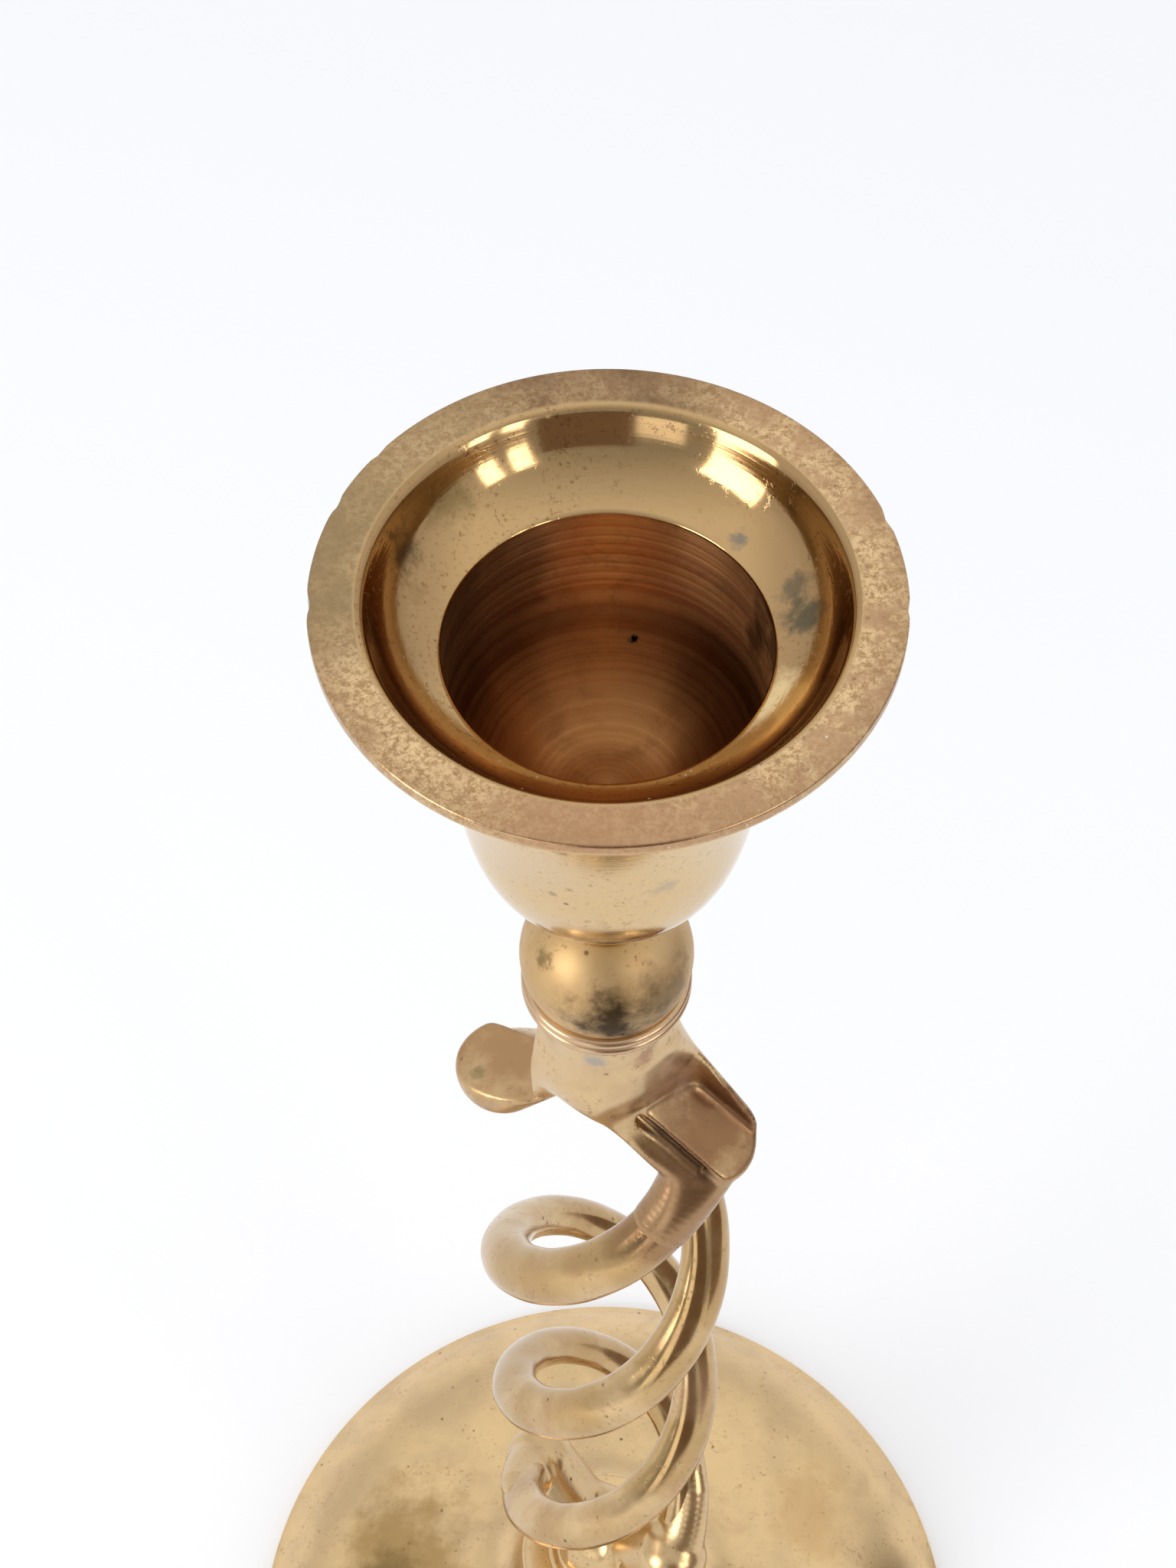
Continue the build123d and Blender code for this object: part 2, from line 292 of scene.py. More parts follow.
def skin(distance, low, high, pitch):
    """A clean quad mesh of the surface where a distance function is nought."""
    low = np.array(low, float)
    size = np.ceil((np.array(high) - low) / pitch).astype(int) + 1
    axes = [low[i] + pitch * np.arange(size[i]) for i in range(3)]
    grid = np.stack(np.meshgrid(*axes, indexing="ij"), -1)
    value = distance(grid.reshape(-1, 3)).reshape(size)
    inside = value < 0
    total = np.zeros(size - 1, int)
    for dx in (0, 1):
        for dy in (0, 1):
            for dz in (0, 1):
                total += inside[dx : size[0] - 1 + dx, dy : size[1] - 1 + dy, dz : size[2] - 1 + dz]
    cells = np.argwhere((total > 0) & (total < 8))
    index = -np.ones(size - 1, int)
    index[tuple(cells.T)] = np.arange(len(cells))
    points = low + (cells + 0.5) * pitch
    faces = []
    for axis in range(3):
        one, two = [i for i in range(3) if i != axis]
        shift = np.zeros(3, int)
        shift[axis] = 1
        here = inside[tuple(slice(0, size[i] - shift[i]) for i in range(3))]
        there = inside[tuple(slice(shift[i], size[i]) for i in range(3))]
        edges = np.argwhere(here != there)
        sides, limit = edges[:, [one, two]], size[[one, two]] - 1
        edges = edges[((sides > 0) & (sides < limit)).all(1)]
        corners = []
        for a, b in ((1, 1), (0, 1), (0, 0), (1, 0)):
            cell = edges.copy()
            cell[:, one] -= a
            cell[:, two] -= b
            corners.append(index[tuple(cell.T)])
        quads = np.stack(corners, -1)
        flip = here[tuple(edges.T)] == (axis == 1)
        quads[flip] = quads[flip][:, ::-1]
        faces += quads.tolist()
    # Pull the points onto the surface along its slope
    step = pitch * 0.05
    nudges = step * np.eye(3)
    for _ in range(8):
        slope = np.stack([distance(points + n) - distance(points - n) for n in nudges], -1) / (2 * step)
        steep = np.maximum((slope**2).sum(1), 0.25)
        points = points - np.clip(distance(points) / steep, -pitch, pitch)[:, None] * slope
    return points, faces


def add_piece(name, vertices, faces, body, node, slot, material):
    """A smooth mesh that rides on a body and stands for a node of the frame."""
    mesh = bpy.data.meshes.new(name)
    mesh.from_pydata([tuple(v) for v in vertices], [], faces)
    mesh.validate()
    mesh.materials.append(material)
    mesh.shade_smooth()
    mesh.set_sharp_from_angle(angle=math.radians(50))
    piece = bpy.data.objects.new(name, mesh)
    bpy.context.scene.collection.objects.link(piece)
    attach(piece, body)
    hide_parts(node)
    return piece


# Materials


class Shader:
    """A node tree under construction, with short calls for the nodes that it needs."""

    def __init__(self, owner, surface="Principled BSDF", place="Object"):
        owner.use_nodes = True
        self.owner = owner
        self.tree = owner.node_tree
        self.surface = self.tree.nodes[surface]
        self.place = self.add("ShaderNodeTexCoord").outputs[place]

    def add(self, kind, inputs=None, **settings):
        """A new node with its settings, and with its inputs linked or set."""
        node = self.tree.nodes.new(kind)
        for key, value in settings.items():
            setattr(node, key, value)
        self.feed(node, inputs or {})
        return node

    def feed(self, node, inputs):
        for key, value in inputs.items():
            if isinstance(value, bpy.types.NodeSocket):
                self.tree.links.new(value, node.inputs[key])
            else:
                node.inputs[key].default_value = value

    def noise(self, scale, detail=4.0, rough=0.55, place=None, warp=0.0):
        inputs = {"Vector": place or self.place, "Scale": scale, "Detail": detail}
        inputs |= {"Roughness": rough, "Distortion": warp}
        return self.add("ShaderNodeTexNoise", inputs).outputs["Fac"]

    def specks(self, scale):
        """Distance to the nearest of many scattered points."""
        inputs = {"Vector": self.place, "Scale": scale}
        return self.add("ShaderNodeTexVoronoi", inputs).outputs["Distance"]

    def ramp(self, value, low, high, to_low=0.0, to_high=1.0, kind="SMOOTHSTEP"):
        inputs = {"Value": value, "From Min": low, "From Max": high, "To Min": to_low, "To Max": to_high}
        return self.add("ShaderNodeMapRange", inputs, interpolation_type=kind).outputs["Result"]

    def span(self, value, low, high, to_low=0.0, to_high=1.0):
        """A ramp between two lengths in millimetres."""
        return self.ramp(value, low * MM, high * MM, to_low, to_high)

    def maths(self, operation, first, second=0.0):
        return self.add("ShaderNodeMath", {0: first, 1: second}, operation=operation).outputs["Value"]

    def times(self, first, *others):
        for other in others:
            first = self.maths("MULTIPLY", first, other)
        return first

    def plus(self, first, *others):
        for other in others:
            first = self.maths("ADD", first, other)
        return first

    def mix(self, factor, *colours):
        first, second = [c if isinstance(c, bpy.types.NodeSocket) else (*c, 1.0) for c in colours]
        inputs = {"Factor": factor, 6: first, 7: second}
        return self.add("ShaderNodeMix", inputs, data_type="RGBA").outputs[2]

    def split(self):
        """The three coordinates of a place."""
        return self.add("ShaderNodeSeparateXYZ", {"Vector": self.place}).outputs

    def join(self, x, y, z):
        return self.add("ShaderNodeCombineXYZ", {"X": x, "Y": y, "Z": z}).outputs["Vector"]

    def from_axis(self):
        """Distance of a place from the part's axis."""
        x, y, _ = self.split()
        flat = {0: self.join(x, y, 0.0)}
        return self.add("ShaderNodeVectorMath", flat, operation="LENGTH").outputs["Value"]

    def near(self, centre, radius, soft, ragged=0.0):
        """One inside a ball given in millimetres, nought outside, with a ragged edge if asked."""
        inputs = {0: self.place, 1: [value * MM for value in centre]}
        gap = self.add("ShaderNodeVectorMath", inputs, operation="DISTANCE").outputs["Value"]
        if ragged:
            reach = ragged * radius * MM
            wander = self.noise(0.9 / (radius * MM), 5, 0.65)
            gap = self.plus(gap, self.ramp(wander, 0.25, 0.75, -reach, reach))
        return self.span(gap, radius + soft, radius - soft)

    def metal(self, tint, dull, height, strength):
        """The material, made a metal with a colour, a roughness and a fine relief."""
        relief = {"Strength": strength, "Distance": 0.1 * MM, "Height": height}
        normal = self.add("ShaderNodeBump", relief).outputs["Normal"]
        inputs = {"Base Color": tint, "Roughness": dull, "Metallic": 1.0, "Normal": normal}
        self.feed(self.surface, inputs)
        return self.owner


def stain_and_paint_light(shader, tint, dull, stains_and_painted_light):
    """Lay ragged marks on a surface from a table like those below: stains, and in some tables painted
    shade, painted highlights and painted reflections.
    """
    for centre, radius, shade, strength, gloss in stains_and_painted_light:
        mark = shader.near(centre, radius, 0.7 * radius, ragged=0.6)
        tint = shader.mix(shader.times(mark, strength), tint, shade)
        dull = shader.plus(dull, shader.times(mark, gloss))
    return tint, dull


def aged_brass(name, colours, bright, tarnish, rough, turned=True, extra=None, stains_and_painted_light=()):
    """Old polished brass with a thin film, copper bloom, brown pits, dark specks and marks of work."""
    shader = Shader(bpy.data.materials.new(name))
    cloud = shader.noise(95, 5, 0.6)
    tint = shader.mix(shader.ramp(cloud, 0.38, 0.66), bright, colours.pale)
    bloom = shader.noise(210, 6, 0.62, warp=0.6)
    stain = shader.ramp(bloom, 0.62 - tarnish * 0.3, 0.95 - tarnish * 0.3)
    tint = shader.mix(shader.times(stain, 0.5), tint, colours.copper)
    crowd = shader.ramp(shader.noise(330, 4, 0.6), 0.42, 0.64)
    pits = shader.times(shader.ramp(shader.noise(1700, 3, 0.7), 0.56, 0.68), crowd)
    tint = shader.mix(shader.times(pits, 0.3 + tarnish * 0.6), tint, colours.tarnish)
    few = shader.ramp(shader.noise(240, 2), 0.54, 0.66)
    spot = shader.times(shader.ramp(shader.specks(560), 0.17, 0.06), few)
    tint = shader.mix(shader.times(spot, 0.7), tint, colours.soot)
    film = shader.ramp(cloud, 0.3, 0.75, rough - 0.03, rough + 0.05)
    dull = shader.plus(shader.times(stain, 0.1), shader.times(pits, 0.12), film, shader.times(spot, 0.3))
    if turned:
        z = shader.split()["Z"]
        marks = shader.noise(3400, 3, 0.6, place=shader.join(shader.from_axis(), 0.0, z))
    else:
        marks = shader.noise(900, 4, 0.6)
    height = shader.maths("SUBTRACT", shader.times(marks, 0.5), shader.times(pits, 0.6))
    if extra:
        tint, dull = extra(shader, tint, dull)
    tint, dull = stain_and_paint_light(shader, tint, dull, stains_and_painted_light)
    return shader.metal(tint, dull, height, 0.10)


def socket_brass(name):
    """Tarnished brass of the socket, with the streaky gloss of turning marks that run round it, and a
    painted highlight streak and painted dark reflections on its walls.
    """
    shader = Shader(bpy.data.materials.new(name))
    x, _, z = shader.split()
    depth = shader.maths("SUBTRACT", RIM_Z, z)
    rings = shader.noise(1500, 5, 0.7, place=shader.join(shader.from_axis(), 0.0, z))
    rings = shader.ramp(rings, 0.32, 0.68)
    wander = shader.ramp(shader.noise(160, 3, 0.6), 0.3, 0.7, -1.2 * MM, 1.2 * MM)
    across = shader.plus(x, wander)
    tint = shader.mix(rings, (0.82, 0.41, 0.155), (1.0, 0.59, 0.27))

    # Painted light: a painted highlight streak at the back, painted dark reflections on the walls beside
    # it, and a brown lower end
    tint = shader.mix(shader.span(across, -2.5, -6.5, 0.0, 0.7), tint, (0.13, 0.05, 0.017))
    painted_highlight = shader.times(shader.span(across, -2.2, 0.6), shader.span(across, 4.4, 1.4))
    tint = shader.mix(painted_highlight, tint, (1.0, 0.60, 0.25))
    tint = shader.mix(shader.span(depth, 12.5, 19.5, 0.0, 0.88), tint, (0.29, 0.11, 0.03))
    for first, last, strength in ((-7.6, -10.6, 0.5), (9.8, 11.2, 0.75)):
        side = shader.span(across, first, last, 0.0, strength)
        tint = shader.mix(side, tint, (0.06, 0.024, 0.009))
    # Painted shade low on the right wall
    low = shader.span(depth, 13.0, 16.0, 0.0, 0.75)
    shade = shader.times(shader.span(across, 3.0, 7.0), low)
    tint = shader.mix(shade, tint, (0.12, 0.045, 0.015))

    # Clouds of tarnish and a dark line where the wall turns into the floor
    cloud = shader.ramp(shader.noise(260, 6, 0.68, warp=0.5), 0.45, 0.7, 0.0, 0.5)
    tint = shader.mix(cloud, tint, (0.22, 0.085, 0.025))
    line = shader.times(shader.span(depth, 14.6, 15.8), shader.span(depth, 18.2, 16.6), 0.45)
    tint = shader.mix(line, tint, (0.15, 0.06, 0.022))
    dull = shader.plus(shader.ramp(rings, 0.0, 1.0, 0.38, 0.28), shader.times(cloud, 0.06))
    tint, dull = stain_and_paint_light(shader, tint, dull, SOCKET_STAINS)
    around = shader.add("ShaderNodeTangent", direction_type="RADIAL", axis="Z").outputs["Tangent"]
    shader.feed(shader.surface, {"Anisotropic": 0.9, "Anisotropic Rotation": 0.25, "Tangent": around})
    return shader.metal(tint, dull, rings, 0.12)


def dull_steel(name, colours):
    """Plain steel with a dull film and a few rust-brown clouds."""
    shader = Shader(bpy.data.materials.new(name))
    cloud = shader.noise(300, 5, 0.6)
    tint = shader.mix(shader.ramp(cloud, 0.45, 0.8), colours.steel, colours.tarnish)
    return shader.metal(tint, shader.ramp(cloud, 0.3, 0.7, 0.34, 0.5), shader.noise(2600, 3), 0.15)


# Films on the lip: middle and radius in millimetres, colour and strength
LIP_FILMS = (
    ((-1.0, 17.8, 221.0), 8.0, (0.15, 0.08, 0.042), 1.0),
    ((-17.8, 3.0, 221.0), 7.5, (0.27, 0.19, 0.095), 0.95),
    ((-12.6, 12.6, 221.0), 6.0, (0.30, 0.21, 0.105), 0.8),
    ((1.0, -17.8, 221.0), 8.0, (0.44, 0.24, 0.13), 0.8),
)
# Stains and painted light: middle and radius in millimetres, colour, strength and change of gloss
CUP_STAINS_AND_HIGHLIGHT = (
    ((13.0, 1.3, 216.7), 1.3, (0.10, 0.09, 0.06), 0.85, 0.1),
    ((12.6, 3.6, 216.6), 1.0, (0.12, 0.10, 0.07), 0.7, 0.1),
    ((9.0, 8.3, 216.1), 0.55, (0.22, 0.19, 0.16), 0.8, 0.12),
    ((-13.6, 5.7, 218.4), 1.3, (0.10, 0.065, 0.03), 0.85, 0.08),
    ((-10.6, 10.0, 218.2), 1.5, (0.20, 0.14, 0.055), 0.55, 0.04),
    ((-12.2, 3.4, 217.6), 0.9, (0.20, 0.12, 0.05), 0.5, 0.06),
    # Painted highlight: a pale gold patch on the funnel at the front right
    ((11.4, -5.6, 216.6), 2.2, (0.95, 0.72, 0.38), 0.8, 0.0),
    ((3.9, -10.3, 201.5), 0.8, (0.34, 0.27, 0.21), 0.5, 0.1),
    ((-3.3, -12.1, 208.5), 0.5, (0.10, 0.07, 0.05), 0.6, 0.2),
    ((-3.9, -10.2, 200.6), 0.3, (0.20, 0.13, 0.07), 0.6, 0.1),
    ((-2.7, -10.7, 202.0), 0.25, (0.20, 0.13, 0.07), 0.6, 0.1),
)
SOCKET_STAINS = (
    ((2.0, 9.8, 203.0), 0.3, (0.004, 0.003, 0.002), 1.0, 0.4),
    ((4.2, 9.2, 200.4), 0.4, (0.03, 0.012, 0.005), 0.8, 0.2),
)
KNOP_STAINS_AND_PAINTED_SHADE = (
    ((-4.9, -2.9, 179.3), 0.7, (0.17, 0.11, 0.04), 0.7, 0.1),
    # Painted dark reflection darkening the knop's right side
    ((4.6, -4.9, 176.7), 2.4, (0.24, 0.165, 0.085), 0.75, 0.05),
    # Painted dark reflection: a dark spot low on the knop's front
    ((0.3, -6.8, 175.8), 2.7, (0.045, 0.026, 0.011), 0.97, 0.05),
)
# The brown film that runs from the right arm onto its rod
ARM_FILM = ((5.0, -7.8, 146.5), 6.5, (0.29, 0.16, 0.08), 0.8, 0.0)
HUB_STAINS_AND_PAINTED_LIGHT = (
    ((-9.0, 4.4, 152.0), 5.2, (0.40, 0.23, 0.11), 0.9, 0.1),
    ((-11.0, 2.1, 151.6), 0.6, (0.22, 0.20, 0.08), 0.6, 0.1),
    ((9.4, -3.8, 151.0), 4.4, (0.29, 0.145, 0.07), 0.92, 0.16),
    ((5.6, -3.0, 154.0), 2.2, (0.30, 0.17, 0.09), 0.7, 0.1),
    # Painted highlight: a pale pink patch that lifts the right arm's shaded shoulder
    ((4.6, -2.2, 158.0), 2.8, (0.74, 0.51, 0.35), 0.75, 0.1),
    ARM_FILM,
    # Painted shade: a bluish grey spot on the neck below the bead
    ((-1.0, -5.1, 166.8), 0.9, (0.30, 0.31, 0.34), 0.6, 0.1),
    ((3.0, -4.3, 165.8), 0.9, (0.34, 0.15, 0.11), 0.6, 0.1),
)
ROD_STAINS = (
    ARM_FILM,
    ((-7.4, -5.6, 121.0), 2.6, (0.40, 0.24, 0.11), 0.6, 0.05),
)
# Painted reflections on the foot: dark patches on the left and a warm tan patch on the right
FOOT_PAINTED_REFLECTIONS = (
    ((-26.0, 7.0, 13.0), 6.5, (0.36, 0.22, 0.08), 0.8, 0.02),
    ((-27.5, 3.0, 13.0), 3.5, (0.20, 0.13, 0.045), 0.7, 0.02),
    ((27.0, 12.0, 12.2), 5.0, (0.60, 0.38, 0.17), 0.6, 0.02),
)


# Pieces

# Radius and depth below the rim along the bowl's side, in millimetres
BOWL_SIDE = ((3.2, 33.6), (8.2, 30.6), (9.9, 27.0), (10.9, 20.5), (11.9, 14.5), (13.0, 9.4))
# Dents in the rim: place round it and width in degrees, and share of the full depth
RIM_DENTS = ((182, 2.2, 1.0), (157, 1.6, 0.8), (142, 1.4, 0.7), (18, 1.8, 0.9), (-4, 1.3, 0.7))


class CANDLE_OT_cup(bpy.types.Operator):
    """Turn the candle cup with its lip, funnel, socket and bowl"""

    bl_idname = "candle.cup"
    bl_label = "Candle Cup"

    def outline(self, sizes):
        """The cup's outline in two runs: the outside with the funnel, and the socket."""

        def at(radius, depth):
            return np.array([radius, RIM_Z / MM - depth]) * MM

        rim, lip = sizes.rim_radius / MM, sizes.lip_inner_radius / MM
        bore, straight = sizes.socket_radius / MM, sizes.socket_straight / MM
        funnel = sizes.funnel_depth / MM
        floor, floor_radius = sizes.floor_depth / MM, sizes.floor_radius / MM
        neck, neck_top = BOWL_SIDE[0]
        seat = (RIM_Z - CUP_SEAT_Z) / MM
        hole, hole_radius = seat - sizes.stud_hole / MM, STUD_HOLE_RADIUS / MM
        under = [at(0, hole), at(hole_radius, hole), at(hole_radius, seat)]
        under += [at(neck, seat), at(neck, neck_top)]
        up = heading(78)
        bowl = smooth_line([at(*point) for point in BOWL_SIDE], heading(24), up, 16)
        flare = arc_to(bowl[-1], up, at(rim - 0.15, 1.15), 16)
        edge = eased([flare[-1], at(rim, 1.0), at(rim, 0.0), at(lip + 1.1, 0.02)], 0.3 * MM)
        steep, slope = -heading(62), -heading(26)
        edge += smooth_line([edge[-1], at(lip, 0.2), at(lip - 0.4, 0.72)], (-1, -0.02), steep, 8)[1:]
        corner = at(bore + 0.12, funnel - 0.05)
        dish = smooth_line([edge[-1], at(lip - 1.55, 2.75), corner], steep, slope, 16)
        wall = [at(bore, funnel + 0.12)]
        steps = 59
        for step in range(1, steps + 1):
            depth = funnel + 0.12 + (straight - 0.12) * step / steps
            groove = sizes.groove_depth / MM * max(0.0, math.sin(step * 0.83)) ** 3
            wall.append(at(bore + groove, depth))
        low = arc_to(at(bore, funnel + straight), (0, -1), at(floor_radius, floor - 0.12), 32)
        end = smooth_line([low[-1], at(0, floor)], low[-1] - low[-2], (-1, 0), 10)
        outer = eased(under, 0.2 * MM, 3) + bowl[1:] + flare[1:-1] + edge + dish[1:]
        return outer, wall + low[1:-1] + end[1:]

    def dented(self, vertices, sizes):
        """The cup's points with small dents pressed into the rim's edge."""
        radius = np.hypot(vertices[:, 0], vertices[:, 1])
        angle = np.arctan2(vertices[:, 1], vertices[:, 0])
        top = np.clip((vertices[:, 2] - (RIM_Z - 1.6 * MM)) / (1.2 * MM), 0, 1)
        outer = np.clip((radius - (sizes.rim_radius - 1.2 * MM)) / (1.2 * MM), 0, 1)
        dent = np.zeros(len(vertices))
        for where, wide, deep in RIM_DENTS:
            gap = np.degrees(np.abs(np.angle(np.exp(1j * (angle - math.radians(where))))))
            dent = np.maximum(dent, deep * np.exp(-((gap / wide) ** 2)))
        pull = 1 - sizes.nick_depth * dent * top * outer / np.maximum(radius, 1 * MM)
        return vertices * np.stack([pull, pull, np.ones(len(pull))], -1)

    def execute(self, context):
        scene = context.scene
        sizes, colours = scene.candle_cup_sizes, scene.candle_brass
        shell, socket = self.outline(sizes)
        vertices, faces = lathe(shell + socket, sizes.segments)
        vertices = self.dented(vertices, sizes)

        def lip_tint(shader, x, out):
            """Speckled brown film of the flat lip, with painted shade towards its outer edge."""
            grains = shader.ramp(shader.noise(2300, 6, 0.8), 0.40, 0.58)
            tint = shader.mix(grains, (0.42, 0.25, 0.115), (0.82, 0.58, 0.32))
            patches = shader.ramp(shader.noise(330, 6, 0.68, warp=0.4), 0.46, 0.6)
            rose = shader.times(patches, shader.span(x, -8, 8, 0.2, 0.8))
            tint = shader.mix(rose, tint, (0.52, 0.32, 0.175))
            flecks = shader.ramp(shader.noise(2100, 4, 0.7), 0.58, 0.68)
            tint = shader.mix(shader.times(flecks, 0.6), tint, (0.22, 0.12, 0.06))
            worn = shader.ramp(shader.noise(260, 8, 0.78, warp=0.8), 0.5, 0.6, 0.0, 0.45)
            tint = shader.mix(worn, tint, (0.36, 0.21, 0.11))
            # Painted shade: browner towards the lip's outer edge
            outer = shader.span(out, 17.2, 19.6, 0.0, 0.4)
            tint = shader.mix(outer, tint, (0.33, 0.19, 0.10))
            film = shader.ramp(shader.noise(150, 5, 0.65), 0.3, 0.7, 0.55, 1.0)
            for middle, reach, shade, strength in LIP_FILMS:
                spread = shader.times(shader.near(middle, reach, 0.55 * reach), film, strength)
                tint = shader.mix(spread, tint, shade)
            return tint

        def marks(shader, tint, dull):
            x, y, z = shader.split()
            out = shader.from_axis()
            depth = shader.maths("SUBTRACT", RIM_Z, z)
            inner = sizes.lip_inner_radius
            flat = shader.ramp(out, inner, inner + 0.5 * MM)
            lip = shader.times(flat, shader.span(depth, 1.1, 0.6))
            tint = shader.mix(shader.times(lip, 0.92), tint, lip_tint(shader, x, out))
            dull = shader.plus(dull, shader.times(lip, 0.16))

            # The funnel, darker at its sides from painted dark reflections, and with more freckles on the
            # left
            slope = shader.plus(depth, out)
            within = shader.ramp(depth, sizes.funnel_depth + 0.3 * MM, sizes.funnel_depth)
            funnel = shader.span(slope, 18.4, 17.8)
            funnel = shader.times(funnel, shader.ramp(lip, 0.6, 0.2), within)
            tint = shader.mix(shader.times(funnel, 0.85), tint, (0.53, 0.34, 0.155))
            sides = shader.span(shader.maths("ABSOLUTE", x), 8.5, 12.5, 0.0, 0.7)
            sides = shader.times(sides, funnel, shader.span(y, -6, -1))
            tint = shader.mix(sides, tint, (0.34, 0.21, 0.10))
            left = shader.span(x, 0, -12, 0.0, 0.2)
            crowd = shader.ramp(shader.plus(shader.noise(210, 3), left), 0.4, 0.62)
            freckles = shader.ramp(shader.noise(2500, 4, 0.75), 0.54, 0.68)
            freckles = shader.times(freckles, crowd, funnel, 0.9)
            tint = shader.mix(freckles, tint, colours.tarnish)

            # Fine dots outside, and dust at the front of the rim
            outside = shader.span(slope, 18.6, 19.2)
            dots = shader.ramp(shader.noise(3000, 4, 0.75), 0.57, 0.68)
            tint = shader.mix(shader.times(dots, outside, 0.45), tint, (0.30, 0.17, 0.08))
            dust = shader.times(
                shader.ramp(shader.specks(1500), 0.2, 0.1),
                shader.span(y, -7, -13),
                shader.ramp(shader.noise(700, 2), 0.56, 0.62),
                shader.span(depth, 6.2, 5),
            )
            tint = shader.mix(dust, tint, colours.dust)
            return tint, shader.plus(dull, shader.times(dust, 0.5))

        bright = colours.polished
        brass = aged_brass("cup_aged_brass", colours, bright, 0.3, 0.1, extra=marks, stains_and_painted_light=CUP_STAINS_AND_HIGHLIGHT)
        cup = add_piece("candle_cup_body", vertices, faces, "cup", "candle_cup", "cup_brass", brass)
        cup.data.materials.append(socket_brass("cup_socket_brass"))
        first = 1 + (len(shell) - 1) * sizes.segments
        for face in cup.data.polygons:
            face.material_index = int(min(face.vertices) >= first)
        return {"FINISHED"}


class CANDLE_OT_knop(bpy.types.Operator):
    """Turn the ball knop under the cup"""

    bl_idname = "candle.knop"
    bl_label = "Ball Knop"

    def execute(self, context):
        scene = context.scene
        sizes, colours = scene.candle_stem_sizes, scene.candle_brass
        ball = sizes.ball_radius
        low, high = HUB_SEAT_Z, CUP_SEAT_Z
        middle = low + sizes.ball_rise
        first = math.asin((low - middle) / ball)
        last = math.asin((high - middle) / ball)
        side = circle_part((0.0, middle), ball, first, last, 60)
        outline = [(STUD_HOLE_RADIUS, high), (STUD_HOLE_RADIUS, low)] + side
        vertices, faces = lathe(eased(outline, 0.15 * MM, 3), 160)
        bright = (0.56, 0.37, 0.17)
        brass = aged_brass("knop_aged_brass", colours, bright, 0.4, 0.48, stains_and_painted_light=KNOP_STAINS_AND_PAINTED_SHADE)
        add_piece("knop_ball", vertices, faces, "ball", "knop", "knop_brass", brass)
        return {"FINISHED"}


def rod_section(angle, sizes):
    """Directions of a rod's thin way, its wide way and its run where it passes an angle."""
    slope = 2 * math.pi * sizes.twist_radius / sizes.twist_pitch
    out = np.array([math.cos(angle), math.sin(angle), 0])
    along = np.array([-math.sin(angle) * slope, math.cos(angle) * slope, 1])
    along /= np.linalg.norm(along)
    across = np.cross(along, out)
    thin = math.cos(sizes.rod_lean) * out - math.sin(sizes.rod_lean) * across
    wide = math.sin(sizes.rod_lean) * out + math.cos(sizes.rod_lean) * across
    return thin, wide, along


# The flats on a hub's arms, in millimetres and radians: side of the axis, tilt and lift of the flat,
# height of the ridge at its back and place of the wall at its root
ARM_FLATS = ((1, math.radians(34), 1.7, 2.5, 4.4), (-1, math.radians(12), 1.5, 6.0, 2.2))
FLAT_TURN, WALL_TURN, BEVEL_ROLL = math.radians(-8), math.radians(-34), math.radians(40)
# The swelling under each arm, and the taper from it into the rod
SWELL_ROOT, SWELL_TIP, SWELL_RADIUS = (1.5, -2.0, -2.0), (-0.8, -1.0, -1.2), 3.3
TAPER_START, TAPER_LENGTH, TAPER_STEPS = 3.6, 8.5, 16
# The crevice between a flat and its swelling: place beside and below the flat, and radius
CREVICE_SIDE, CREVICE_DEPTH, CREVICE_RADIUS = 3.1, 1.0, 0.5


def rod_taper(q, tip, sizes):
    """Distance in millimetres to the end of a rod, which thickens towards its lobe."""
    twist, thin_end, wide_end = sizes.twist_radius / MM, sizes.rod_thin / MM, sizes.rod_wide / MM
    taper = np.full(len(q), np.inf)
    for share in np.linspace(0.05, 1, TAPER_STEPS):
        fall = TAPER_LENGTH * share
        angle = -2 * math.pi * fall * MM / sizes.twist_pitch
        thin, wide, along = rod_section(angle, sizes)
        centre = np.array([twist * math.cos(angle), twist * math.sin(angle), tip[2] - fall])
        ease = share * (2 - share)
        # The last steps dip into the rod, so that no edge shows
        dip = 0.06 - 2.0 * max(0, share - 0.8)
        half_thin = TAPER_START + (thin_end + dip - TAPER_START) * ease
        half_wide = TAPER_START + (wide_end + dip - TAPER_START) * ease
        gap = q - centre
        across = np.hypot(gap @ thin / half_thin, np.hypot(gap @ wide, gap @ along) / half_wide)
        taper = np.minimum(taper, (across - 1) * half_thin)
    return taper


